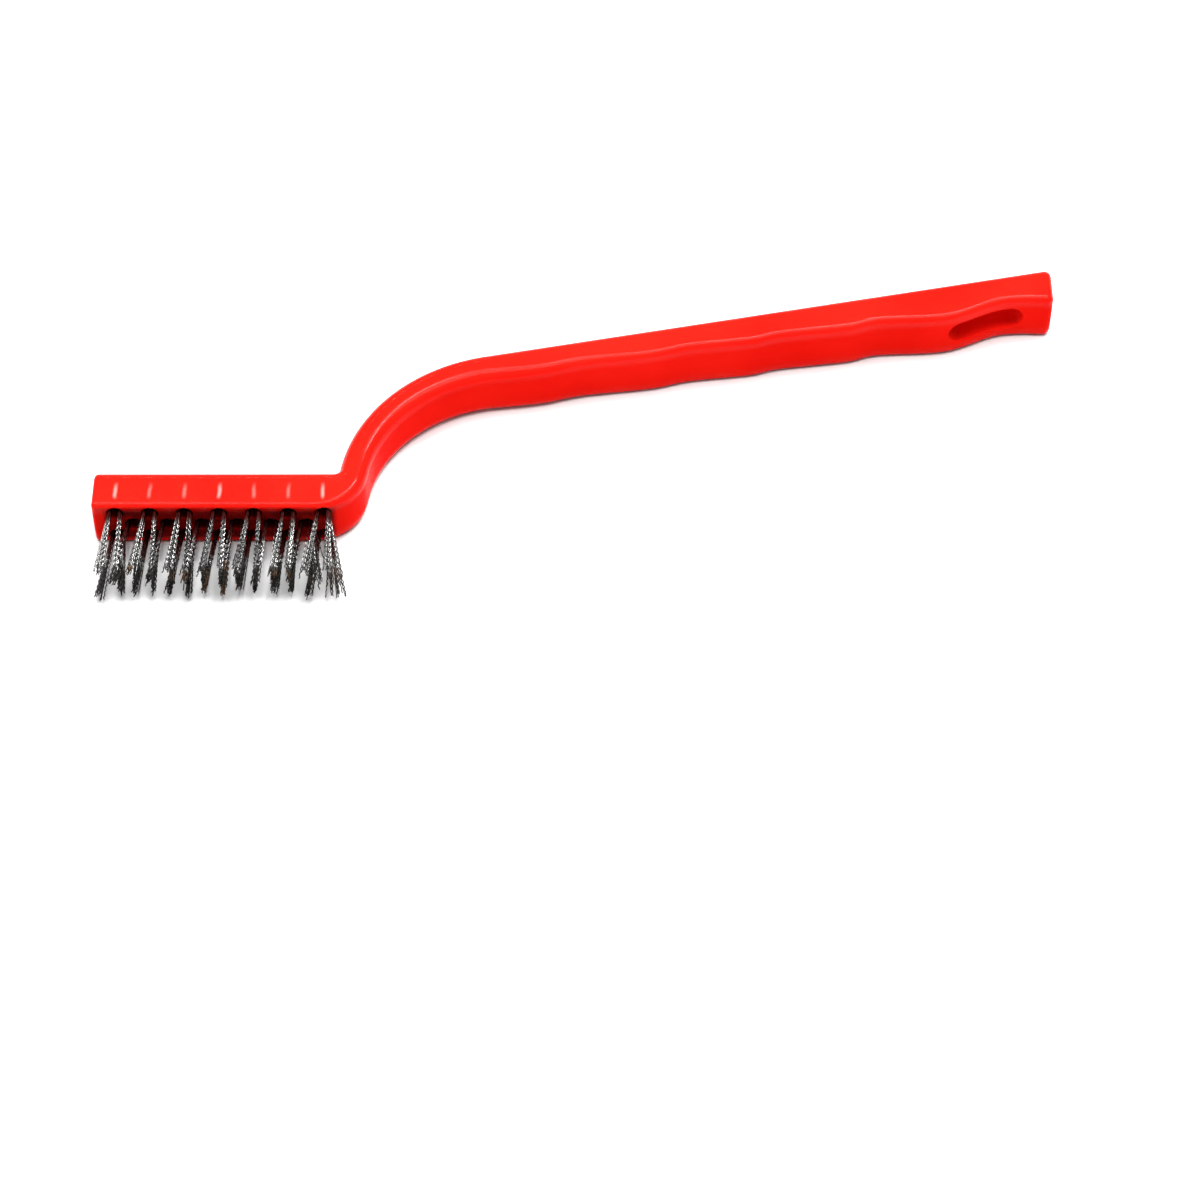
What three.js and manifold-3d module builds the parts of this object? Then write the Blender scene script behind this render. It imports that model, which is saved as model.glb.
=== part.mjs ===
// Small wire brush with a bent plastic handle, lying on its side, in millimetres.
// +X runs along the brush from its toe to the handle's end, +Y from the wire tips to its back,
// and +Z across its width. The handle is one moulding. Each tuft is a bundle of steel wire,
// folded over a flat anchor that is driven with it into a blind hole of the head.
// Outlines are drawn from the toe's back corner, and the last lines put the origin under the brush.
import * as THREE from 'three';
import Module from 'manifold-3d';

const wasm = await Module();
wasm.setup();

// Handle
const brushWidth = 9.8;
const headLength = 42; // toe to the notch in the back
const headThickness = 8.4;
const neckAngle = THREE.MathUtils.degToRad(79.7);
const neckRise = 2.7; // straight stretch of the neck, from the notch
const neckThickness = 5;
const bendRadius = 30.9; // along the back
const gripAngle = THREE.MathUtils.degToRad(11.65);
const gripLength = 104.5;
const gripThickness = 6.05; // where the bend ends and the grip starts
const endThickness = 8.6;
const notchRound = 1;
const heelRound = 8.8;
const backRound = 2.3; // long edges of the back
const headEdgeRound = 0.9; // long edges of the head's front
const bendEdgeRound = 2; // long edges of the neck's and bend's front
const gripEdgeRound = 1.2; // long edges of the grip's front
const softShare = 0.25; // share of the grip over which its edges change from the bend's round
const toeRound = 0.8;
const endRound = 1.3;
const leastRound = 0.1; // what stays of a long edge's round on an end face

// Finger waves under the grip: share of the way from the bend to the knee, and thickness there
const fingerWaves = [
  { share: 0.125, thickness: 6.7 },
  { share: 0.215, thickness: 6.25 },
  { share: 0.36, thickness: 6.95 },
  { share: 0.445, thickness: 6.6 },
  { share: 0.57, thickness: 7.35 },
  { share: 0.64, thickness: 7 },
  { share: 0.785, thickness: 7.75 },
  { share: 0.85, thickness: 7.3 },
];
const kneeThickness = 8.9;
const kneeToSlot = 0.7;
const hollowThickness = 7; // between the knee and the flared end
const hollowToEnd = 9.4;

// Hanging slot, through the grip from back to front
const slotLength = 13.5;
const slotWidth = 4.6;
const slotToEnd = 5.4;

// Holes of the head, in two outer rows and a middle row that is staggered between them
const holesPerOuterRow = 7;
const holeRadius = 1.4;
const holeDepth = 5.6;
const drillTipAngle = THREE.MathUtils.degToRad(118);
const drillTipRadius = 0.1; // the blunt point of the drill
const toeToFirstHole = 4.05;
const lastHoleToNotch = 2.25;
const sideWall = 0.7; // between the outer rows' holes and the head's sides

// Anchors
const anchorThickness = 0.4;
const anchorHeight = 2; // along the hole
const anchorBite = 0.35; // into the plastic on each side of the hole
const anchorClearance = 0.15;

// Tufts
const wireLength = 14.2; // longest wires, from the head's front to their tips
const clumpWidth = 1.5; // each leg of a tuft, at its tip
const clumpSpacing = 1.25; // between the legs of neighbouring tufts, at their tips
const toeLean = 0.7; // how far the tips are combed towards the toe
const heelLean = 1.6; // extra lean of the last wires, which nothing holds back
const tuftClearance = 0.3;

const holePitch = (headLength - toeToFirstHole - lastHoleToNotch) / (holesPerOuterRow - 1);
const rowSpacing = brushWidth / 2 - sideWall - holeRadius;

// Inside a hole, a tuft's two legs fill what the anchor leaves, and they fold round its inner edge.
const tuftRadius = holeRadius - tuftClearance;
const anchorSide = anchorThickness / 2 + anchorClearance;
const legOffset = (tuftRadius + anchorSide) / 2;
const legHalf = (tuftRadius - anchorSide) / 2;
const foldDepth = holeDepth - tuftClearance - tuftRadius;
const anchorDepth = foldDepth + anchorClearance / 2;

const CORNER_STEPS = 4;
const END_STEPS = 3;
const BEND_POINTS = 12;
const HOLE_SIDES = 20;
const CLUMP_SIDES = 10;
const FOLD_STEPS = 6;
const SLOT_ARC_STEPS = 10;
const STRETCH_STEPS = { head: 1, heel: 7, neck: 1, bend: 13, grip: 42 };

const redPlastic = new THREE.MeshStandardMaterial({ color: 0xf21a12, roughness: 0.3, metalness: 0 });
const wireSteel = new THREE.MeshStandardMaterial({ color: 0x9a9a9c, roughness: 0.35, metalness: 1 });
const anchorSteel = new THREE.MeshStandardMaterial({ color: 0xb4b4b0, roughness: 0.4, metalness: 1 });

const along = (angle) => new THREE.Vector2(Math.cos(angle), Math.sin(angle));
const towardsFront = (angle) => new THREE.Vector2(Math.sin(angle), -Math.cos(angle));

// A closed mesh through rings of points that run anticlockwise about the way from first to last.
function loft(rings) {
  const count = rings[0].length;
  const caps = [rings[0], rings[rings.length - 1]].map((ring) =>
    ring.reduce((sum, point) => sum.add(point), new THREE.Vector3()).divideScalar(count));
  const points = [...rings.flat(), ...caps];
  const firstCap = points.length - 2;
  const lastCap = points.length - 1;
  const lastRing = (rings.length - 1) * count;
  const triangles = [];
  for (let side = 0; side < count; side++) {
    const next = (side + 1) % count;
    for (let start = 0; start < lastRing; start += count) {
      const end = start + count;
      triangles.push(start + side, start + next, end + next, start + side, end + next, end + side);
    }
    triangles.push(firstCap, next, side, lastCap, lastRing + side, lastRing + next);
  }
  const geometry = new THREE.BufferGeometry().setFromPoints(points);
  geometry.setIndex(triangles);
  return geometry;
}

function toSolid(geometry) {
  return new wasm.Manifold(new wasm.Mesh({
    numProp: 3,
    vertProperties: new Float32Array(geometry.attributes.position.array),
    triVerts: new Uint32Array(geometry.index.array),
  }));
}

function toGeometry(solid) {
  const mesh = solid.getMesh();
  const geometry = new THREE.BufferGeometry();
  geometry.setAttribute('position', new THREE.BufferAttribute(mesh.vertProperties, mesh.numProp));
  geometry.setIndex(new THREE.BufferAttribute(mesh.triVerts, 1));
  geometry.computeVertexNormals();
  return geometry;
}

// The back and the front of the handle, seen from the side, as pairs of stretches that face
// each other: head, heel, neck, bend and grip.
function handleOutlines() {
  const cornerShare = Math.tan(neckAngle / 2);
  const notch = new THREE.Vector2(headLength, 0);
  const notchCentre = new THREE.Vector2(headLength - notchRound * cornerShare, notchRound);
  const neckStart = notch.clone().addScaledVector(along(neckAngle), notchRound * cornerShare);
  const neckEnd = notch.clone().addScaledVector(along(neckAngle), neckRise);
  const bendCentre = neckEnd.clone().addScaledVector(towardsFront(neckAngle), bendRadius);
  const gripStart = bendCentre.clone().addScaledVector(towardsFront(gripAngle), -bendRadius);
  const onGrip = (distance, thickness) => new THREE.Vector2(0, -thickness)
    .add(gripStart).addScaledVector(along(gripAngle), distance);

  const neckFront = notch.clone().addScaledVector(towardsFront(neckAngle), neckThickness);
  const heelDrop = (headThickness + neckFront.y) / Math.sin(neckAngle);
  const heel = neckFront.clone().addScaledVector(along(neckAngle), -heelDrop);
  const heelCentre = new THREE.Vector2(heel.x - heelRound * cornerShare, heelRound - headThickness);
  const heelEnd = heel.clone().addScaledVector(along(neckAngle), heelRound * cornerShare);
  const kneeAlong = gripLength - slotToEnd - slotLength - kneeToSlot;

  const line = (from, to) => new THREE.LineCurve(from, to);
  const corner = (centre, radius) =>
    new THREE.ArcCurve(centre.x, centre.y, radius, -Math.PI / 2, neckAngle - Math.PI / 2, false);
  const bendFront = Array.from({ length: BEND_POINTS + 1 }, (_, step) => {
    const share = step / BEND_POINTS;
    const angle = THREE.MathUtils.lerp(neckAngle, gripAngle, share);
    const thickness = THREE.MathUtils.lerp(neckThickness, gripThickness, share);
    return bendCentre.clone().addScaledVector(towardsFront(angle), thickness - bendRadius);
  });
  const gripFront = [
    bendFront[BEND_POINTS],
    ...fingerWaves.map(({ share, thickness }) => onGrip(share * kneeAlong, thickness)),
    onGrip(kneeAlong, kneeThickness),
    onGrip(gripLength - hollowToEnd, hollowThickness),
    onGrip(gripLength, endThickness),
  ];
  return {
    head: {
      back: line(new THREE.Vector2(0, 0), new THREE.Vector2(notchCentre.x, 0)),
      front: line(new THREE.Vector2(0, -headThickness), new THREE.Vector2(heelCentre.x, -headThickness)),
    },
    heel: { back: corner(notchCentre, notchRound), front: corner(heelCentre, heelRound) },
    neck: {
      back: line(neckStart, neckEnd),
      front: line(heelEnd, neckEnd.clone().addScaledVector(towardsFront(neckAngle), neckThickness)),
    },
    bend: {
      back: new THREE.ArcCurve(bendCentre.x, bendCentre.y, bendRadius,
        neckAngle + Math.PI / 2, gripAngle + Math.PI / 2, true),
      front: new THREE.SplineCurve(bendFront),
    },
    grip: { back: line(gripStart, onGrip(gripLength, 0)), front: new THREE.SplineCurve(gripFront) },
  };
}

// Radius of the front's long edges, which are softest round the bend.
function frontEdgeRound(name, share) {
  const { lerp } = THREE.MathUtils;
  const rounds = {
    head: headEdgeRound,
    heel: lerp(headEdgeRound, bendEdgeRound, share),
    grip: lerp(bendEdgeRound, gripEdgeRound, Math.min(share / softShare, 1)),
  };
  return rounds[name] ?? bendEdgeRound;
}

// Cross-section between a point of the back and one of the front: a rectangle with round corners,
// drawn in by inset where an end face rounds off.
function handleRing(back, front, frontRound, inset) {
  const across = back.clone().sub(front);
  const thickness = across.length();
  across.normalize();
  const round = (radius) => Math.max(radius - inset, leastRound);
  const nearBack = thickness - inset - round(backRound);
  const nearFront = inset + round(frontRound);
  const backSide = brushWidth / 2 - inset - round(backRound);
  const frontSide = brushWidth / 2 - inset - round(frontRound);
  const corners = [
    { depth: nearBack, side: backSide, radius: round(backRound) },
    { depth: nearFront, side: frontSide, radius: round(frontRound) },
    { depth: nearFront, side: -frontSide, radius: round(frontRound) },
    { depth: nearBack, side: -backSide, radius: round(backRound) },
  ];
  return corners.flatMap(({ depth, side, radius }, quarter) =>
    Array.from({ length: CORNER_STEPS + 1 }, (_, step) => {
      const angle = (quarter + step / CORNER_STEPS) * Math.PI / 2;
      const place = front.clone().addScaledVector(across, depth + radius * Math.cos(angle));
      return new THREE.Vector3(place.x, place.y, brushWidth / 2 + side + radius * Math.sin(angle));
    }));
}

// Rings that round off an end face, from the face inwards, as distance from it and inset.
function endRounding(radius) {
  return Array.from({ length: END_STEPS }, (_, step) => {
    const angle = (1 - step / END_STEPS) * Math.PI / 2;
    return { distance: radius * (1 - Math.sin(angle)), inset: radius * (1 - Math.cos(angle)) };
  });
}

function handleBlank(outlines) {
  const rings = [];
  const addRing = ({ back, front }, share, frontRound, inset = 0) =>
    rings.push(handleRing(back.getPointAt(share), front.getPointAt(share), frontRound, inset));

  const { head, grip } = outlines;
  for (const { distance, inset } of endRounding(toeRound)) {
    addRing(head, distance / head.back.getLength(), headEdgeRound, inset);
  }
  addRing(head, toeRound / head.back.getLength(), headEdgeRound);
  for (const [name, steps] of Object.entries(STRETCH_STEPS)) {
    for (let step = name === 'head' ? 1 : 0; step < steps; step++) {
      addRing(outlines[name], step / steps, frontEdgeRound(name, step / steps));
    }
  }
  addRing(grip, 1 - endRound / grip.back.getLength(), gripEdgeRound);
  for (const { distance, inset } of endRounding(endRound).reverse()) {
    addRing(grip, 1 - distance / grip.back.getLength(), gripEdgeRound, inset);
  }
  return toSolid(loft(rings));
}

// A straight-sided cutter along Y, from an outline of [x, z] that runs clockwise seen from +Y.
function cutterAlongY(outline, from, to) {
  const ring = (y) => outline.map(([x, z]) => new THREE.Vector3(x, y, z));
  return toSolid(loft([ring(from), ring(to)]));
}

function slotCutter(outlines) {
  const end = outlines.grip.back.getPointAt(1);
  const radius = slotWidth / 2;
  const outline = [];
  for (const side of [1, -1]) {
    const centre = end.x - slotToEnd - slotLength / 2 + side * (slotLength / 2 - radius);
    for (let step = 0; step <= SLOT_ARC_STEPS; step++) {
      const angle = Math.PI * (step / SLOT_ARC_STEPS - 0.5 * side);
      outline.push([centre + radius * Math.cos(angle), brushWidth / 2 - radius * Math.sin(angle)]);
    }
  }
  const gripDrop = gripLength * Math.sin(gripAngle);
  return cutterAlongY(outline, end.y - gripDrop - kneeThickness, end.y + kneeThickness);
}

// A drilled blind hole and the nicks that an anchor cuts beside it, at the origin of the head's front.
function holeCutters() {
  const outside = -headThickness;
  const tip = holeDepth + holeRadius / Math.tan(drillTipAngle / 2);
  const circle = (radius, y) => Array.from({ length: HOLE_SIDES }, (_, side) => {
    const angle = -2 * Math.PI * side / HOLE_SIDES;
    return new THREE.Vector3(radius * Math.cos(angle), y, radius * Math.sin(angle));
  });
  const drill = toSolid(loft([
    circle(holeRadius, outside),
    circle(holeRadius, holeDepth),
    circle(drillTipRadius, tip),
  ]));
  const nickReach = holeRadius + anchorBite + anchorClearance;
  const nickOutline = [[anchorSide, -nickReach], [-anchorSide, -nickReach],
    [-anchorSide, nickReach], [anchorSide, nickReach]];
  const nick = cutterAlongY(nickOutline, outside, anchorDepth + anchorClearance);
  return drill.add(nick);
}

// Where every tuft stands on the head's front, by name.
function tuftPlaces() {
  const rows = [
    { row: 'left', z: brushWidth / 2 + rowSpacing, shift: 0, count: holesPerOuterRow },
    { row: 'middle', z: brushWidth / 2, shift: 0.5, count: holesPerOuterRow - 1 },
    { row: 'right', z: brushWidth / 2 - rowSpacing, shift: 0, count: holesPerOuterRow },
  ];
  return rows.flatMap(({ row, z, shift, count }) => Array.from({ length: count }, (_, index) => ({
    name: `${row}_${index + 1}`,
    lastOfRow: index === count - 1,
    position: new THREE.Vector3(toeToFirstHole + (index + shift) * holePitch, -headThickness, z),
  })));
}

// A tuft with its two legs out of the hole's mouth along -Y and its fold inside, round the anchor.
function tuftGeometry(lastOfRow) {
  const rootBreadth = Math.sqrt(tuftRadius ** 2 - legOffset ** 2);
  const tipBreadth = (rowSpacing - tuftClearance) / 2;
  const tipSpread = holePitch - clumpWidth - clumpSpacing;
  const tips = {
    toe: -tipSpread / 2 - toeLean,
    heel: tipSpread / 2 - toeLean + (lastOfRow ? heelLean : 0),
  };
  const ring = (x, y, angle, half, breadth) => Array.from({ length: CLUMP_SIDES }, (_, side) => {
    const turn = 2 * Math.PI * side / CLUMP_SIDES;
    const out = half * Math.cos(turn);
    return new THREE.Vector3(
      x + out * Math.cos(angle), y + out * Math.sin(angle), breadth * Math.sin(turn));
  });
  const fold = Array.from({ length: FOLD_STEPS + 1 }, (_, step) => {
    const angle = Math.PI * (1 - step / FOLD_STEPS);
    return ring(legOffset * Math.cos(angle), foldDepth + legOffset * Math.sin(angle),
      angle, legHalf, rootBreadth);
  });
  return loft([
    ring(tips.toe, -wireLength, Math.PI, clumpWidth / 2, tipBreadth),
    ring(-legOffset, 0, Math.PI, legHalf, rootBreadth),
    ...fold,
    ring(legOffset, 0, 0, legHalf, rootBreadth),
    ring(tips.heel, -wireLength, 0, clumpWidth / 2, tipBreadth),
  ]);
}

function anchorGeometry() {
  const length = 2 * (holeRadius + anchorBite);
  return new THREE.BoxGeometry(anchorThickness, anchorHeight, length)
    .translate(0, anchorDepth - anchorHeight / 2, 0);
}

function handleGeometry(places) {
  const outlines = handleOutlines();
  let handle = handleBlank(outlines).subtract(slotCutter(outlines));
  const hole = holeCutters();
  for (const { position } of places) {
    handle = handle.subtract(hole.translate(position.toArray()));
  }
  return toGeometry(handle);
}

function addPart(group, name, geometry, material, position = new THREE.Vector3()) {
  const mesh = new THREE.Mesh(geometry, material);
  mesh.name = name;
  mesh.position.copy(position);
  group.add(mesh);
}

const brush = new THREE.Group();
const places = tuftPlaces();
addPart(brush, 'handle', handleGeometry(places), redPlastic);
for (const { name, lastOfRow, position } of places) {
  addPart(brush, `tuft_${name}`, tuftGeometry(lastOfRow), wireSteel, position);
  addPart(brush, `anchor_${name}`, anchorGeometry(), anchorSteel, position);
}

// The origin is on the surface that the brush lies on, under the middle of its bounding box.
const bounds = new THREE.Box3().setFromObject(brush);
const middle = bounds.getCenter(new THREE.Vector3());
brush.position.set(-middle.x, -middle.y, -bounds.min.z);

export default brush;
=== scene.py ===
"""The looks of a small wire brush: a glossy red moulded handle with twenty tufts of crimped wire.

The brush lies on its side: +X runs from its toe to the handle's end, +Y from the wire tips to its
back, and +Z across its width. Lengths are in metres, so a size in millimetres is times MM.
"""

import math

import bmesh
import bpy
import numpy as np
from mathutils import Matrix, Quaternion, Vector


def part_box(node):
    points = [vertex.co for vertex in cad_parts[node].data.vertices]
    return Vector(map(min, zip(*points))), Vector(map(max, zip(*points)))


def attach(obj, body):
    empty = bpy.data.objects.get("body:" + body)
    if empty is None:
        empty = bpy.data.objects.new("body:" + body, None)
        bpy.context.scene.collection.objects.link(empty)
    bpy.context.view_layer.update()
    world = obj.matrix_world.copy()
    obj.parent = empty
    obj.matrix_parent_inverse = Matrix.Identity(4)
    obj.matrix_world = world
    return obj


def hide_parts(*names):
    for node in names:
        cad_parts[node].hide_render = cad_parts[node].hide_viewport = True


MM = 0.001
SEED = 20

# Handle
HEAD_LENGTH = 42 * MM  # toe to the notch in the back
HEAD_THICKNESS = 8.4 * MM
NECK_ANGLE = math.radians(79.7)
NECK_RISE = 2.7 * MM
NECK_THICKNESS = 5 * MM
BEND_RADIUS = 30.9 * MM  # along the back
GRIP_ANGLE = math.radians(11.65)
GRIP_LENGTH = 104.5 * MM
GRIP_THICKNESS = 6.05 * MM  # where the bend ends and the grip starts
END_THICKNESS = 8.6 * MM
NOTCH_ROUND = 1 * MM
HEEL_ROUND = 8.8 * MM
BACK_ROUND = 2.3 * MM  # long edges of the back
HEAD_EDGE_ROUND = 0.9 * MM  # long edges of the head's front
BEND_EDGE_ROUND = 2 * MM  # long edges of the neck's and bend's front
GRIP_EDGE_ROUND = 1.2 * MM  # long edges of the grip's front
SOFT_SHARE = 0.25  # share of the grip over which its edges change from the bend's round
TOE_ROUND = 0.8 * MM
END_ROUND = 1.45 * MM  # a little more than in CAD, whose coarser round lies inside a fine one
LEAST_ROUND = 0.1 * MM  # what stays of a long edge's round on an end face

# Finger waves: share of the way from the bend to the knee, and thickness there
FINGER_WAVES = (
    (0.125, 6.7 * MM),
    (0.215, 6.25 * MM),
    (0.36, 6.95 * MM),
    (0.445, 6.6 * MM),
    (0.57, 7.35 * MM),
    (0.64, 7 * MM),
    (0.785, 7.75 * MM),
    (0.85, 7.3 * MM),
)
KNEE_THICKNESS = 8.9 * MM
KNEE_TO_SLOT = 0.7 * MM
HOLLOW_THICKNESS = 7 * MM
HOLLOW_TO_END = 9.4 * MM

# Hanging slot
SLOT_LENGTH = 13.5 * MM
SLOT_WIDTH = 4.6 * MM
SLOT_TO_END = 5.4 * MM
SLOT_RIM = 0.45 * MM  # round of its rims
SLOT_OVERHANG = 2 * MM  # of its cutter, out of the plastic

# Holes, anchors and what they leave to the wires
HOLES_PER_OUTER_ROW = 7
HOLE_RADIUS = 1.4 * MM
HOLE_DEPTH = 5.6 * MM
HOLE_RIM = 0.2 * MM  # round of a hole's rim
HOLE_SIDES = 48
DRILL_TIP_ANGLE = math.radians(118)
DRILL_TIP_RADIUS = 0.1 * MM
TOE_TO_FIRST_HOLE = 4.05 * MM
LAST_HOLE_TO_NOTCH = 2.25 * MM
SIDE_WALL = 0.7 * MM
ANCHOR_THICKNESS = 0.4 * MM
ANCHOR_HEIGHT = 2 * MM
ANCHOR_BITE = 0.35 * MM
ANCHOR_TAPER = 0.93  # length of its edge towards the mouth, as a share of the other one's
ANCHOR_EDGE = 0.06 * MM
NICK_CLEARANCE = 0.05 * MM
NICK_SIDES = 16
CUTTER_OVERHANG = 1 * MM  # of the holes' and nicks' cutters, out of the plastic
FOLD_DEPTH = 4.2 * MM

# Wires
WIRES_PER_TUFT = 16  # each is folded, so a tuft has twice as many ends
WIRE_RADIUS = 0.1 * MM
WIRE_SIDES = 5
WIRE_STEP = 0.18 * MM
WIRE_LENGTH = 14.2 * MM  # the longest, from the head's front
USUAL_LENGTH = 12.6 * MM
SHORT_SHARE = 0.12  # of the wires, which are worn shorter
CRIMP_LENGTH = 1.15 * MM
CRIMP_HEIGHT = 0.09 * MM
TOE_TIP = -2.3 * MM  # tip of a tuft's toe leg, from the hole's middle
HEEL_TIP = 1.3 * MM  # of its heel leg at the toe, and
HEEL_TIP_DRIFT = -0.8 * MM  # how much less at the heel
HEEL_FAN = 1.6 * MM  # how much further the last heel leg of a row leans
TIP_HALVES = {"toe": (0.5, 0.85), "heel": (0.3, 0.6)}  # a leg's half width at its tips, in mm
FAN_HALF = 1.75  # of the last heel leg of a row
TIP_DEPTHS = (0.85, 1.15)  # a leg's half depth there, in mm
ROOT_RADII = (0.9, 1.25)  # where wires cross the hole's mouth, from its middle, in mm
ROOT_TURN = 0.75  # how far they spread to either side there, in radians
ROOT_NEAREST = 0.59 * MM  # to the hole's middle plane, where the wires come near it
FOLD_NEAREST = 0.36 * MM  # the same at the fold
FOLD_SPREAD = 1.04  # how much more they spread at the fold than at the mouth

CORNER_STEPS = 8
STRETCH_STEPS = {"head": 40, "heel": 36, "neck": 10, "bend": 90, "grip": 260}

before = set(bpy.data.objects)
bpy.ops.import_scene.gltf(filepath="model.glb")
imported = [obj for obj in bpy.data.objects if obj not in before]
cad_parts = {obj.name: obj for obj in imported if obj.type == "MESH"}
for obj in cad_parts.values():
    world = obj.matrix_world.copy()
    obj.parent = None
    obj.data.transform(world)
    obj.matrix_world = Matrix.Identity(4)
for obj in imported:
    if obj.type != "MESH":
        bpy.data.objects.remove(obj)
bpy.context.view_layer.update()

handle_low, handle_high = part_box("handle")
WIDTH = handle_high.z - handle_low.z
TOE = np.array([handle_low.x, handle_low.y + HEAD_THICKNESS])  # the toe's back corner
HEAD_FRONT = handle_low.y
HOLE_PITCH = (HEAD_LENGTH - TOE_TO_FIRST_HOLE - LAST_HOLE_TO_NOTCH) / (HOLES_PER_OUTER_ROW - 1)
ROW_SPACING = WIDTH / 2 - SIDE_WALL - HOLE_RADIUS


# ---------------------------------------------------------------- outlines

def along(angle):
    return np.array([math.cos(angle), math.sin(angle)])


def towards_front(angle):
    return np.array([math.sin(angle), -math.cos(angle)])


def arc(centre, radius, start, end, steps=240):
    angles = np.linspace(start, end, steps)
    return centre + radius * np.stack([np.cos(angles), np.sin(angles)], axis=1)


def through(points, steps=120):
    """A smooth line through points, with the end points doubled."""
    points = np.array(points)
    padded = np.vstack([points[:1], points, points[-1:]])
    t = np.linspace(0, 1, steps, endpoint=False)[:, None]
    runs = []
    for p0, p1, p2, p3 in zip(padded, padded[1:], padded[2:], padded[3:]):
        v0 = (p2 - p0) / 2
        v1 = (p3 - p1) / 2
        cubic = 2 * p1 - 2 * p2 + v0 + v1
        square = 3 * p2 - 3 * p1 - 2 * v0 - v1
        runs.append(cubic * t**3 + square * t**2 + v0 * t + p1)
    return np.vstack([*runs, points[-1:]])


def at_shares(line, shares):
    """Points at these shares of a line's length."""
    length = np.append(0, np.cumsum(np.linalg.norm(np.diff(line, axis=0), axis=1)))
    return np.stack([np.interp(shares, length / length[-1], line[:, axis]) for axis in (0, 1)], axis=1)


def line_length(line):
    return np.linalg.norm(np.diff(line, axis=0), axis=1).sum()


def handle_outlines():
    """The handle's back and front, seen from the side, as pairs of stretches that face each other."""
    corner_share = math.tan(NECK_ANGLE / 2)
    notch = TOE + [HEAD_LENGTH, 0]
    notch_centre = notch + [-NOTCH_ROUND * corner_share, NOTCH_ROUND]
    neck_start = notch + along(NECK_ANGLE) * NOTCH_ROUND * corner_share
    neck_end = notch + along(NECK_ANGLE) * NECK_RISE
    bend_centre = neck_end + towards_front(NECK_ANGLE) * BEND_RADIUS
    grip_start = bend_centre - towards_front(GRIP_ANGLE) * BEND_RADIUS

    def on_grip(distance, thickness):
        return grip_start + along(GRIP_ANGLE) * distance + [0, -thickness]

    neck_front = notch + towards_front(NECK_ANGLE) * NECK_THICKNESS
    heel_drop = (neck_front[1] - HEAD_FRONT) / math.sin(NECK_ANGLE)
    heel = neck_front - along(NECK_ANGLE) * heel_drop
    heel_centre = np.array([heel[0] - HEEL_ROUND * corner_share, HEAD_FRONT + HEEL_ROUND])
    heel_end = heel + along(NECK_ANGLE) * HEEL_ROUND * corner_share
    knee_along = GRIP_LENGTH - SLOT_TO_END - SLOT_LENGTH - KNEE_TO_SLOT
    quarter = math.pi / 2
    corner_turn = (-quarter, NECK_ANGLE - quarter)
    bend_front = []
    for share in np.linspace(0, 1, 13):
        thickness = NECK_THICKNESS + (GRIP_THICKNESS - NECK_THICKNESS) * share
        angle = NECK_ANGLE + (GRIP_ANGLE - NECK_ANGLE) * share
        bend_front.append(bend_centre + towards_front(angle) * (thickness - BEND_RADIUS))
    grip_front = [
        bend_front[-1],
        *[on_grip(share * knee_along, thickness) for share, thickness in FINGER_WAVES],
        on_grip(knee_along, KNEE_THICKNESS),
        on_grip(GRIP_LENGTH - HOLLOW_TO_END, HOLLOW_THICKNESS),
        on_grip(GRIP_LENGTH, END_THICKNESS),
    ]
    return {
        "head": (
            np.array([TOE, [notch_centre[0], TOE[1]]]),
            np.array([[TOE[0], HEAD_FRONT], [heel_centre[0], HEAD_FRONT]]),
        ),
        "heel": (
            arc(notch_centre, NOTCH_ROUND, *corner_turn),
            arc(heel_centre, HEEL_ROUND, *corner_turn),
        ),
        "neck": (
            np.array([neck_start, neck_end]),
            np.array([heel_end, neck_end + towards_front(NECK_ANGLE) * NECK_THICKNESS]),
        ),
        "bend": (
            arc(bend_centre, BEND_RADIUS, NECK_ANGLE + quarter, GRIP_ANGLE + quarter),
            through(bend_front),
        ),
        "grip": (
            np.array([grip_start, on_grip(GRIP_LENGTH, 0)]),
            through(grip_front),
        ),
    }


# ---------------------------------------------------------------- meshes

def new_object(name, points, faces):
    mesh = bpy.data.meshes.new(name)
    mesh.from_pydata([tuple(point) for point in points], [], [tuple(face) for face in faces])
    mesh.update()
    piece = bpy.data.objects.new(name, mesh)
    bpy.context.scene.collection.objects.link(piece)
    return piece


def loft_faces(ring_count, count, offset=0):
    """Faces of a closed body through rings that run anticlockwise about the way to the last one."""
    starts = offset + np.arange(ring_count - 1)[:, None] * count
    side = np.arange(count)[None, :]
    after = (side + 1) % count
    quads = np.stack([starts + side, starts + after, starts + count + after, starts + count + side], axis=-1)
    last = offset + (ring_count - 1) * count
    caps = [list(range(offset, offset + count))[::-1], list(range(last, last + count))]
    return quads.reshape(-1, 4).tolist() + caps


def loft(name, rings):
    rings = np.array(rings)
    return new_object(name, rings.reshape(-1, 3), loft_faces(len(rings), rings.shape[1]))


def apply_modifiers(piece):
    depsgraph = bpy.context.evaluated_depsgraph_get()
    mesh = bpy.data.meshes.new_from_object(piece.evaluated_get(depsgraph))
    piece.modifiers.clear()
    old = piece.data
    piece.data = mesh
    mesh.name = piece.name
    bpy.data.meshes.remove(old)


def cut(piece, cutter):
    boolean = piece.modifiers.new("cut", "BOOLEAN")
    boolean.object = cutter
    boolean.operation = "DIFFERENCE"
    boolean.solver = "MANIFOLD"
    apply_modifiers(piece)
    bpy.data.objects.remove(cutter)


def smooth(piece, crease):
    piece.data.shade_smooth()
    piece.data.set_sharp_from_angle(angle=crease)


# ---------------------------------------------------------------- handle

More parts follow.
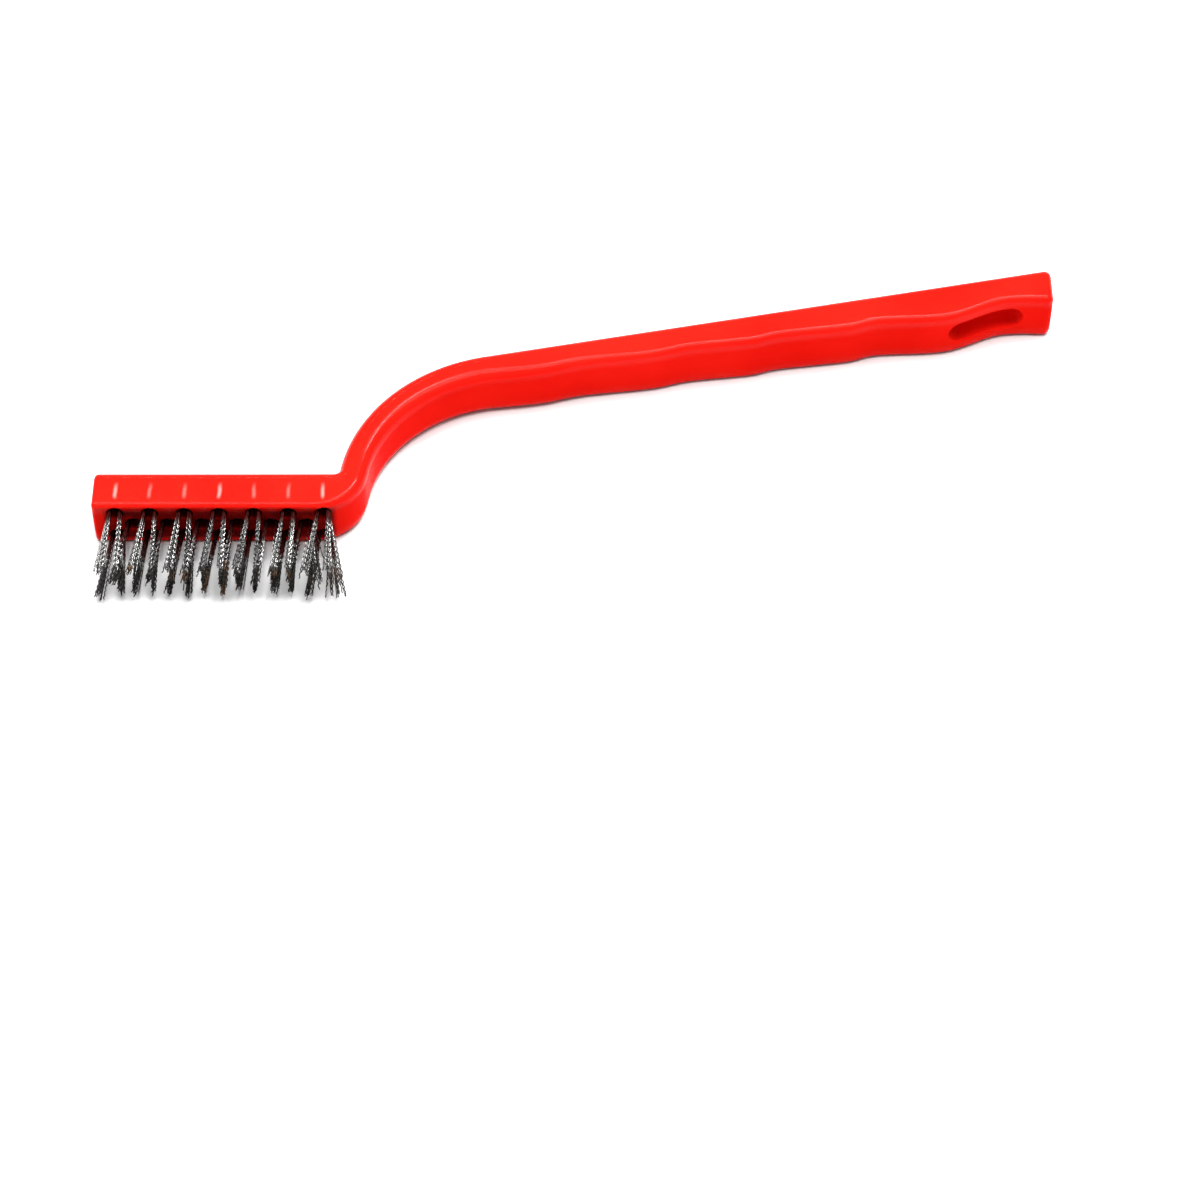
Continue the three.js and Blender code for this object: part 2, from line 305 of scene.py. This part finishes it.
def front_edge_round(name, share):
    """Radius of the front's long edges, which are softest round the bend."""
    if name == "head":
        return HEAD_EDGE_ROUND
    if name == "heel":
        return HEAD_EDGE_ROUND + (BEND_EDGE_ROUND - HEAD_EDGE_ROUND) * share
    if name == "grip":
        return BEND_EDGE_ROUND + (GRIP_EDGE_ROUND - BEND_EDGE_ROUND) * min(share / SOFT_SHARE, 1)
    return BEND_EDGE_ROUND


def handle_ring(back, front, front_round, inset=0.0):
    """Cross-section between a point of the back and one of the front: a rectangle with round corners."""
    across = back - front
    thickness = np.linalg.norm(across)
    across = across / thickness
    back_corner = max(BACK_ROUND - inset, LEAST_ROUND)
    front_corner = max(front_round - inset, LEAST_ROUND)
    back_depth = thickness - inset - back_corner
    front_depth = inset + front_corner
    back_side = WIDTH / 2 - inset - back_corner
    front_side = WIDTH / 2 - inset - front_corner
    corners = (
        (back_depth, back_side, back_corner),
        (front_depth, front_side, front_corner),
        (front_depth, -front_side, front_corner),
        (back_depth, -back_side, back_corner),
    )
    points = []
    for quarter, (depth, side, radius) in enumerate(corners):
        for step in range(CORNER_STEPS + 1):
            angle = (quarter + step / CORNER_STEPS) * math.pi / 2
            place = front + across * (depth + radius * math.cos(angle))
            points.append((place[0], place[1], WIDTH / 2 + side + radius * math.sin(angle)))
    return points


def end_rounding(radius):
    """Distance from an end face and inset of the rings that round it off, from the face inwards."""
    angles = (1 - np.arange(CORNER_STEPS) / CORNER_STEPS) * math.pi / 2
    return [(radius * (1 - math.sin(angle)), radius * (1 - math.cos(angle))) for angle in angles]


def handle_blank(outlines):
    rings = []

    def add_ring(name, share, front_round, inset=0.0):
        back, front = (at_shares(line, [share])[0] for line in outlines[name])
        rings.append(handle_ring(back, front, front_round, inset))

    head_length = line_length(outlines["head"][0])
    for distance, inset in end_rounding(TOE_ROUND):
        add_ring("head", distance / head_length, HEAD_EDGE_ROUND, inset)
    for name, steps in STRETCH_STEPS.items():
        for share in np.linspace(0, 1, steps, endpoint=False):
            if name == "head" and share * head_length < TOE_ROUND:
                continue
            if name == "grip" and (1 - share) * GRIP_LENGTH < END_ROUND:
                continue
            add_ring(name, share, front_edge_round(name, share))
    for distance, inset in end_rounding(END_ROUND)[::-1]:
        add_ring("grip", 1 - distance / GRIP_LENGTH, GRIP_EDGE_ROUND, inset)
    return loft("handle_red", rings)


def slot_cutter(outlines):
    """The slot along Y, with rims that open in a round where it meets the grip's back and front."""
    back_line, front_line = outlines["grip"]
    end_x = back_line[-1][0]
    radius = SLOT_WIDTH / 2
    outline = []
    for side in (1, -1):
        centre = end_x - SLOT_TO_END - SLOT_LENGTH / 2 + side * (SLOT_LENGTH / 2 - radius)
        for turn in np.linspace(-math.pi / 2, math.pi / 2, 25):
            outline.append((centre, side * math.cos(turn), side * math.sin(turn)))
        across = np.linspace(0, 1, 14)[1:-1] * (SLOT_LENGTH - SLOT_WIDTH)
        outline += [(centre - side * step, 0, side) for step in across]
    outline = np.array(outline)[::-1]

    def ring(line, depth, outward):
        flare = SLOT_RIM - math.sqrt(max(SLOT_RIM**2 - (SLOT_RIM - min(depth, SLOT_RIM)) ** 2, 0))
        x = outline[:, 0] + outline[:, 1] * (radius + flare)
        z = WIDTH / 2 + outline[:, 2] * (radius + flare)
        surface = np.interp(x, line[:, 0], line[:, 1])
        return np.stack([x, surface - outward * depth, z], axis=1)

    depths = SLOT_RIM * (1 - np.cos(np.linspace(0, math.pi / 2, 7)))
    rings = [ring(front_line, 0, -1) - [0, SLOT_OVERHANG, 0]]
    rings += [ring(front_line, depth, -1) for depth in depths]
    rings += [ring(back_line, depth, 1) for depth in depths[::-1]]
    rings += [ring(back_line, 0, 1) + [0, SLOT_OVERHANG, 0]]
    return loft("slot_cutter", rings)


def hole_places():
    """Every hole's name, its middle on the head's front and its share of the way along its row."""
    rows = (
        ("left", WIDTH / 2 + ROW_SPACING, 0, HOLES_PER_OUTER_ROW),
        ("middle", WIDTH / 2, 0.5, HOLES_PER_OUTER_ROW - 1),
        ("right", WIDTH / 2 - ROW_SPACING, 0, HOLES_PER_OUTER_ROW),
    )
    places = []
    for row, z, shift, count in rows:
        for index in range(count):
            x = TOE[0] + TOE_TO_FIRST_HOLE + (index + shift) * HOLE_PITCH
            places.append((f"{row}_{index + 1}", np.array([x, HEAD_FRONT, z]), index / (count - 1)))
    return places


def hole_cutter(places):
    """All drilled holes as one object, each with a rim that opens in a round."""
    turn = -2 * math.pi * np.arange(HOLE_SIDES) / HOLE_SIDES
    circle = np.stack([np.cos(turn), np.zeros(HOLE_SIDES), np.sin(turn)], axis=1)
    tip = HOLE_DEPTH + HOLE_RADIUS / math.tan(DRILL_TIP_ANGLE / 2)
    profile = [(HOLE_RADIUS + HOLE_RIM, -CUTTER_OVERHANG)]
    for angle in np.linspace(0, math.pi / 2, 6):
        depth = HOLE_RIM * (1 - math.cos(angle))
        profile.append((HOLE_RADIUS + HOLE_RIM * (1 - math.sin(angle)), depth))
    profile += [(HOLE_RADIUS, HOLE_DEPTH), (DRILL_TIP_RADIUS, tip)]
    points, faces = [], []
    for _, place, _ in places:
        offset = len(points)
        for radius, depth in profile:
            points.extend(place + circle * radius + [0, depth, 0])
        faces += loft_faces(len(profile), HOLE_SIDES, offset)
    return new_object("hole_cutter", points, faces)


def nick_cutter(places):
    """The slits that the anchors cut into the holes' walls, as one object."""
    turn = -np.linspace(0, 2 * math.pi, NICK_SIDES, endpoint=False)
    side = np.sign(np.sin(turn) + 1e-9)

    def ring(open_share):
        half = (ANCHOR_THICKNESS / 2 + NICK_CLEARANCE) * open_share
        reach = HOLE_RADIUS + (ANCHOR_BITE + NICK_CLEARANCE) * open_share
        across = np.sin(turn) * half + side * (reach - half)
        return np.stack([np.cos(turn) * half, np.zeros(NICK_SIDES), across], axis=1)

    # The plastic has closed again behind the anchor, towards the mouth.
    profile = ((-CUTTER_OVERHANG, 0.35), (1.2 * MM, 0.35), (2 * MM, 1), (FOLD_DEPTH + 0.12 * MM, 1))
    points, faces = [], []
    for _, place, _ in places:
        offset = len(points)
        for depth, open_share in profile:
            points.extend(place + ring(open_share) + [0, depth, 0])
        faces += loft_faces(len(profile), NICK_SIDES, offset)
    return new_object("nick_cutter", points, faces)


def make_handle(places):
    outlines = handle_outlines()
    handle = handle_blank(outlines)
    cut(handle, slot_cutter(outlines))
    cut(handle, hole_cutter(places))
    cut(handle, nick_cutter(places))
    smooth(handle, math.radians(35))
    weights = handle.modifiers.new("normals", "WEIGHTED_NORMAL")
    weights.keep_sharp = True
    apply_modifiers(handle)
    return handle


# ---------------------------------------------------------------- anchors and tufts

def make_anchor(name, place):
    """A strip of flat steel, cropped at both ends, with its edges broken."""
    length = 2 * (HOLE_RADIUS + ANCHOR_BITE)
    middle = Vector(place) + Vector((0, FOLD_DEPTH - ANCHOR_HEIGHT / 2, 0))
    bm = bmesh.new()
    bmesh.ops.create_cube(bm, size=1)
    bmesh.ops.scale(bm, vec=(ANCHOR_THICKNESS, ANCHOR_HEIGHT, length), verts=bm.verts)
    for vert in bm.verts:
        if vert.co.y < 0:
            vert.co.z *= ANCHOR_TAPER
    bmesh.ops.bevel(bm, geom=bm.edges[:], offset=ANCHOR_EDGE, segments=2, affect="EDGES", profile=0.6)
    bmesh.ops.translate(bm, vec=middle, verts=bm.verts)
    mesh = bpy.data.meshes.new(name)
    bm.to_mesh(mesh)
    bm.free()
    piece = bpy.data.objects.new(name, mesh)
    bpy.context.scene.collection.objects.link(piece)
    smooth(piece, math.radians(40))
    return piece


def root_spots(rng):
    """Where a leg's wires cross the hole's mouth: pressed against its wall in a crescent."""
    spots = []
    while len(spots) < WIRES_PER_TUFT:
        radius = rng.uniform(*ROOT_RADII, 60) * MM
        turn = rng.uniform(-ROOT_TURN, ROOT_TURN, 60)
        tries = np.stack([radius * np.cos(turn), radius * np.sin(turn)], axis=1)
        if spots:
            gaps = np.linalg.norm(tries[:, None] - np.array(spots)[None], axis=2).min(axis=1)
            tries = tries[[gaps.argmax()]]
        spots.append(tries[0])
    return np.array(spots)


def leg_points(rng, spot, side, clump):
    """One leg of a wire, from the fold to its tip, in the tuft's frame, with how far out each point is."""
    x_root, z_root = spot
    x_fold = FOLD_NEAREST + (x_root - ROOT_NEAREST) * FOLD_SPREAD
    inner = np.linspace(FOLD_DEPTH, 0.4 * MM, 7)
    length = clump["length"] + rng.normal(0, 0.28) * MM
    if rng.random() < SHORT_SHARE:
        length -= rng.uniform(0.4, 1.6) * MM
    length = min(length, WIRE_LENGTH - 0.1 * MM)
    outer = np.arange(0, length, WIRE_STEP)
    out = np.concatenate([-inner, outer, [length]])
    share = np.clip(out / WIRE_LENGTH, 0, None)
    stray = rng.normal(0, 1, 2)
    # Where the wire stands in its leg at the mouth, from -1 to 1, is about where it stands at the tips
    relative = np.array([(x_root / MM - 0.9) / 0.35, z_root / MM / 0.8])
    x_tip = clump["tip"] + side * relative[0] * clump["half_x"] * 0.8 + stray[0] * clump["half_x"] * 0.45
    z_tip = relative[1] * clump["half_z"] * 0.8 + stray[1] * clump["half_z"] * 0.4
    z_tip = np.clip(z_tip, *clump["z_limits"])
    deep = np.clip(-out / FOLD_DEPTH, 0, 1)
    x = side * (x_root + (x_fold - x_root) * deep)
    x = x + (x_tip - side * x_root) * share
    z = z_root + (z_tip - z_root) * share
    phase = rng.uniform(0, 2 * math.pi)
    plane = rng.uniform(0, math.pi)
    wave = rng.normal(1, 0.06) * CRIMP_LENGTH
    height = CRIMP_HEIGHT * rng.uniform(0.75, 1.15) * np.clip((out + 0.5 * MM) / (5 * MM), 0.1, 1)
    crimp = height * np.sin(2 * math.pi * out / wave + phase)
    return np.stack([x + crimp * math.cos(plane), -out, z + crimp * math.sin(plane)], axis=1), out


def wire_path(rng, spot, clumps):
    toe, toe_out = leg_points(rng, spot * rng.normal(1, 0.03, 2), -1, clumps[0])
    heel, heel_out = leg_points(rng, spot, 1, clumps[1])
    start, end = toe[0], heel[0]
    turn = np.linspace(math.pi, 0, 9)[1:-1]
    middle = (start[0] + end[0]) / 2
    half = (end[0] - start[0]) / 2
    blend = (1 - np.cos(turn)) / 2
    fold = np.stack([
        middle + half * np.cos(turn),
        FOLD_DEPTH + half * np.sin(turn),
        end[2] + (start[2] - end[2]) * blend,
    ], axis=1)
    path = np.vstack([toe[::-1], fold, heel])
    out = np.concatenate([toe_out[::-1], -FOLD_DEPTH - half * np.sin(turn), heel_out])
    return path, out


def tube_rings(path, rng):
    """Rings of a round wire along a path, with its two ends sheared off at a slant."""
    tangent = np.gradient(path, axis=0)
    tangent /= np.linalg.norm(tangent, axis=1)[:, None]
    across = np.cross([0, 0, 1], tangent)
    across /= np.linalg.norm(across, axis=1)[:, None]
    upward = np.cross(tangent, across)
    turn = 2 * math.pi * np.arange(WIRE_SIDES) / WIRE_SIDES
    around = np.cos(turn)[None, :, None] * across[:, None] + np.sin(turn)[None, :, None] * upward[:, None]
    rings = path[:, None] + WIRE_RADIUS * around
    for end in (0, -1):
        slant = rng.uniform(-0.7, 0.7, 2)
        shift = WIRE_RADIUS * (slant[0] * np.cos(turn) + slant[1] * np.sin(turn))
        rings[end] += shift[:, None] * tangent[end]
    return rings


def tuft_clumps(rng, place, row_share):
    z_room = WIDTH - CRIMP_HEIGHT - 2 * WIRE_RADIUS
    low = CRIMP_HEIGHT + 2 * WIRE_RADIUS - place[2]
    length = USUAL_LENGTH + rng.normal(0, 0.3) * MM
    clumps = []
    for leg, tip in (("toe", TOE_TIP), ("heel", HEEL_TIP + HEEL_TIP_DRIFT * row_share)):
        fan = row_share == 1 and leg == "heel"
        half_x = FAN_HALF if fan else rng.uniform(*TIP_HALVES[leg])
        clumps.append({
            "tip": tip + (HEEL_FAN if fan else 0) + rng.normal(0, 0.22) * MM,
            "half_x": half_x * MM,
            "half_z": rng.uniform(*TIP_DEPTHS) * MM,
            "length": length + rng.normal(0, 0.35) * MM,
            "z_limits": (low, z_room - place[2]),
        })
    return clumps


def make_tuft(name, place, row_share, seed):
    rng = np.random.default_rng([SEED, seed])
    clumps = tuft_clumps(rng, place, row_share)
    points, faces, reach, tint = [], [], [], []
    for spot in root_spots(rng):
        path, out = wire_path(rng, spot, clumps)
        rings = tube_rings(path + place, rng)
        offset = sum(len(part) for part in points)
        points.append(rings.reshape(-1, 3))
        faces += loft_faces(len(rings), WIRE_SIDES, offset)
        reach.append(np.repeat(out / MM, WIRE_SIDES))
        tint.append(np.full(len(rings) * WIRE_SIDES, rng.random()))
    tuft = new_object(name, np.vstack(points), faces)
    tuft.data.shade_smooth()
    for label, values in (("reach", reach), ("tint", tint)):
        attribute = tuft.data.attributes.new(label, "FLOAT", "POINT")
        attribute.data.foreach_set("value", np.concatenate(values).astype(np.float32))
    return tuft


# ---------------------------------------------------------------- materials

class Nodes:
    """Short calls for building a material's node tree."""

    def __init__(self, name):
        self.material = bpy.data.materials.new(name)
        self.material.use_nodes = True
        self.tree = self.material.node_tree
        self.shader = self.tree.nodes["Principled BSDF"]

    def add(self, kind, inputs=(), **settings):
        node = self.tree.nodes.new(kind)
        for key, value in settings.items():
            setattr(node, key, value)
        for key, value in dict(inputs).items():
            self.put(node.inputs[key], value)
        return node

    def put(self, socket, value):
        if isinstance(value, bpy.types.NodeSocket):
            self.tree.links.new(value, socket)
        else:
            socket.default_value = value

    def set(self, **inputs):
        for key, value in inputs.items():
            self.put(self.shader.inputs[key.replace("_", " ")], value)

    def maths(self, operation, a, b=0.0, c=0.0, clamp=False):
        node = self.add("ShaderNodeMath", {0: a, 1: b, 2: c}, operation=operation, use_clamp=clamp)
        return node.outputs[0]

    def ease(self, value, low, high, to_low=0.0, to_high=1.0):
        node = self.add("ShaderNodeMapRange", {0: value, 1: low, 2: high, 3: to_low, 4: to_high},
                        interpolation_type="SMOOTHSTEP")
        return node.outputs[0]

    def mix(self, share, low, high):
        node = self.add("ShaderNodeMix", {0: share, 6: low, 7: high}, data_type="RGBA")
        return node.outputs[2]

    def place(self):
        return self.add("ShaderNodeTexCoord").outputs["Object"]

    def noise(self, vector, scale, detail=2.0, rough=0.5):
        node = self.add("ShaderNodeTexNoise", {"Vector": vector, "Scale": scale, "Detail": detail,
                                               "Roughness": rough})
        return node.outputs[0]


def red_plastic():
    """Glossy polypropylene, whitened beside the outer anchors, with soft flow marks and fine scuffs."""
    n = Nodes("red_plastic")
    place = n.place()
    x, y, z = n.add("ShaderNodeSeparateXYZ", {0: place}).outputs

    # Pale stress marks on both sides of the head, one beside each hole of the outer rows
    from_hole = n.maths("DIVIDE", n.maths("SUBTRACT", x, float(TOE[0] + TOE_TO_FIRST_HOLE)), HOLE_PITCH)
    index = n.maths("ROUND", from_hole)
    wander = n.maths("MULTIPLY", n.maths("SUBTRACT", n.noise(place, 260.0), 0.5), 0.1)
    offset = n.maths("ABSOLUTE", n.maths("ADD", n.maths("SUBTRACT", from_hole, index), wander))
    streak = n.ease(offset, 0.0, 0.085, 1.0, 0.0)
    inside = n.maths("SUBTRACT", y, float(HEAD_FRONT))
    from_front = n.ease(inside, 1.3 * MM, 2.6 * MM)
    below_back = n.ease(inside, 3.4 * MM, 5.6 * MM, 1.0, 0.0)
    in_rows = n.maths("LESS_THAN", n.maths("ABSOLUTE", n.maths("SUBTRACT", index, 3.0)), 3.5)
    from_side = n.maths("ABSOLUTE", n.maths("SUBTRACT", z, WIDTH / 2))
    on_side = n.ease(from_side, WIDTH / 2 - 0.5 * MM, WIDTH / 2 - 0.1 * MM)
    every_third = n.maths("FLOORED_MODULO", index, 3.0)
    mark = n.ease(every_third, 0.0, 1.0, 0.4, 0.17)
    for factor in (streak, from_front, below_back, in_rows, on_side):
        mark = n.maths("MULTIPLY", mark, factor)

    cloud = n.ease(n.noise(place, 45.0, 3.0), 0.3, 0.7)
    base = n.mix(cloud, (0.62, 0.005, 0.0025, 1), (0.68, 0.008, 0.004, 1))
    # Painted shade: the holes and the plastic between the tufts are darkened as if shaded by the wires
    last = HOLES_PER_OUTER_ROW - 1.0
    past_first = n.ease(from_hole, -0.42, -0.22)
    before_last = n.ease(from_hole, last + 0.22, last + 0.42, 1.0, 0.0)
    in_width = n.ease(from_side, WIDTH / 2 - 1.9 * MM, WIDTH / 2 - 0.75 * MM, 1.0, 0.0)
    in_depth = n.ease(inside, HOLE_DEPTH + 0.8 * MM, HOLE_DEPTH + 1.4 * MM, 1.0, 0.0)
    uneven = n.ease(n.noise(place, 420.0, 3.0), 0.3, 0.7, 0.72, 0.95)
    painted_shade = uneven
    for factor in (past_first, before_last, in_width, in_depth):
        painted_shade = n.maths("MULTIPLY", painted_shade, factor)
    # The dark red mixed in here is painted shade between the tufts
    colour = n.mix(painted_shade, base, (0.075, 0.002, 0.002, 1))
    colour = n.mix(mark, colour, (1.0, 0.4, 0.36, 1))

    scuffs = n.ease(n.noise(place, 900.0, 6.0, 0.7), 0.42, 0.75)
    roughness = n.maths("ADD", n.maths("MULTIPLY", scuffs, 0.09), 0.14)
    roughness = n.maths("ADD", roughness, n.maths("MULTIPLY", n.maths("ADD", mark, painted_shade), 0.4))
    flow = n.noise(place, 160.0, 2.0)
    peel = n.noise(place, 700.0, 2.0)
    height = n.maths("ADD", flow, n.maths("MULTIPLY", peel, 0.5))
    bump = n.add("ShaderNodeBump", {"Height": height, "Strength": 0.4, "Distance": 0.06 * MM})
    # Only the two flat sides were polished in the mould
    shine = n.ease(from_side, WIDTH / 2 - 2.6 * MM, WIDTH / 2 - 1.2 * MM, 0.003, 0.05)
    n.set(Base_Color=colour, Roughness=roughness, Normal=bump.outputs[0], IOR=1.49,
          Specular_IOR_Level=shine, Subsurface_Weight=0.08, Subsurface_Scale=0.6 * MM)
    n.shader.inputs["Subsurface Radius"].default_value = (1.0, 0.15, 0.1)
    return n.material


def crimped_wire():
    """Drawn steel wire, bright along its length, blackened and here and there brown at the tips; painted
    shade darkens it near the hole mouths and along most of the middle and lower rows.
    """
    n = Nodes("crimped_wire")
    reach = n.add("ShaderNodeAttribute", attribute_name="reach").outputs["Fac"]
    tint = n.add("ShaderNodeAttribute", attribute_name="tint").outputs["Fac"]
    place = n.place()
    z = n.add("ShaderNodeSeparateXYZ", {0: place}).outputs[2]
    patches = n.noise(place, 330.0, 2.0)
    spread = n.maths("ADD", n.maths("MULTIPLY", patches, 3.0), n.maths("MULTIPLY", tint, 0.8))
    # Painted shade: the wires of the middle and lower rows are darkened over more of their length the lower
    # they lie
    painted_row_shade = n.ease(z, 4.6 * MM, 6.8 * MM, 5.0, 0.0)
    dark_from = n.maths("ADD", n.maths("ADD", reach, spread), painted_row_shade)
    # Tips blackened by oxide, which reaches further along the lower rows as painted shade
    tip_oxide_and_shade = n.ease(dark_from, 13.9, 14.9)
    beyond = n.maths("SUBTRACT", reach, n.maths("MULTIPLY", painted_row_shade, 0.7))
    # Painted shade near the hole mouths, longer in the lower rows
    painted_root_shade = n.ease(beyond, 1.2, 3.2, 1.0, 0.0)
    dark = n.maths("MAXIMUM", tip_oxide_and_shade, painted_root_shade)
    brown = n.ease(n.noise(place, 120.0, 1.0), 0.53, 0.6)
    steel = n.mix(n.maths("POWER", tint, 2.2), (0.035, 0.035, 0.035, 1), (0.36, 0.36, 0.35, 1))
    tip = n.mix(brown, (0.022, 0.02, 0.018, 1), (0.1, 0.06, 0.036, 1))
    streaks = n.ease(n.noise(place, 2600.0, 3.0), 0.35, 0.65)
    roughness = n.maths("ADD", n.maths("MULTIPLY", streaks, 0.12), 0.17)
    roughness = n.maths("ADD", roughness, n.maths("MULTIPLY", dark, 0.25))
    # The dark maroon at the roots is painted shade with a painted reflection of the red hole walls
    colour = n.mix(painted_root_shade, n.mix(tip_oxide_and_shade, steel, tip), (0.035, 0.006, 0.005, 1))
    n.set(Base_Color=colour, Roughness=roughness, Metallic=1.0)
    return n.material


def anchor_strip():
    """Flat steel strip with rolling marks along it."""
    n = Nodes("anchor_strip")
    place = n.place()
    stretched = n.add("ShaderNodeMapping", {"Vector": place, "Scale": (1.0, 1.0, 0.06)}).outputs[0]
    lines = n.noise(stretched, 9000.0, 3.0)
    colour = n.mix(n.noise(place, 900.0, 3.0), (0.46, 0.46, 0.44, 1), (0.68, 0.68, 0.65, 1))
    roughness = n.maths("ADD", n.maths("MULTIPLY", lines, 0.25), 0.24)
    n.set(Base_Color=colour, Roughness=roughness, Metallic=1.0)
    return n.material


def floor_paper():
    n = Nodes("floor_paper")
    grain = n.noise(n.place(), 60.0, 4.0)
    n.set(Base_Color=n.mix(grain, (0.64, 0.64, 0.64, 1), (0.68, 0.68, 0.68, 1)), Roughness=0.8)
    n.set(Specular_IOR_Level=0.1)
    return n.material


# ---------------------------------------------------------------- stage

CAMERA_ELEVATION = math.radians(51.52)
CAMERA_DISTANCE = 616.1 * MM
CAMERA_AIM = Vector((2.83 * MM, -34.01 * MM, 0))  # on the floor, from the middle of the brush
CAMERA_LENS = 108  # on a sensor of 36


def add_light(name, place, size, power, turn=0):
    """A rectangular light that faces the brush, turned by degrees about its own axis."""
    light = bpy.data.lights.new(name, "AREA")
    light.shape = "RECTANGLE"
    light.size, light.size_y = size
    light.energy = power
    lamp = bpy.data.objects.new(name, light)
    lamp.location = place
    facing = (-Vector(place)).to_track_quat("-Z", "Y")
    lamp.rotation_euler = (facing @ Quaternion((0, 0, 1), math.radians(turn))).to_euler()
    bpy.context.scene.collection.objects.link(lamp)


def make_stage():
    scene = bpy.context.scene
    bpy.ops.mesh.primitive_plane_add(size=4)
    floor = bpy.context.object
    floor.name = "floor"
    floor.data.materials.append(floor_paper())

    camera = bpy.data.cameras.new("camera")
    camera.lens = CAMERA_LENS
    camera.sensor_width = 36
    camera.clip_start = 0.01
    view = bpy.data.objects.new("camera", camera)
    away = Vector((0, -math.cos(CAMERA_ELEVATION), math.sin(CAMERA_ELEVATION)))
    view.location = CAMERA_AIM + away * CAMERA_DISTANCE
    view.rotation_euler = (math.pi / 2 - CAMERA_ELEVATION, 0, 0)
    scene.collection.objects.link(view)
    scene.camera = view

    world = bpy.data.worlds.new("studio")
    world.use_nodes = True
    world.node_tree.nodes["Background"].inputs[0].default_value = (1, 1, 1, 1)
    world.node_tree.nodes["Background"].inputs[1].default_value = 0.38
    scene.world = world
    scene.view_settings.view_transform = "Standard"
    add_light("softbox", (0, 0.12, 0.85), (1.1, 0.8), 25)
    add_light("streak", (0.29, 0.41, 0.83), (0.5, 0.05), 8, 50)
    add_light("rim", (-0.17, 0.75, 0.57), (0.2, 0.015), 0.4)


# ---------------------------------------------------------------- assembly

def finish_piece(piece, material, node):
    piece.data.materials.clear()
    piece.data.materials.append(material)
    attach(piece, "root")
    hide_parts(node)


places = hole_places()
plastic = red_plastic()
wire = crimped_wire()
strip = anchor_strip()
finish_piece(make_handle(places), plastic, "handle")
for number, (label, spot, share) in enumerate(places):
    finish_piece(make_tuft(f"wires_{label}", spot, share, number), wire, f"tuft_{label}")
    finish_piece(make_anchor(f"strip_{label}", spot), strip, f"anchor_{label}")
make_stage()
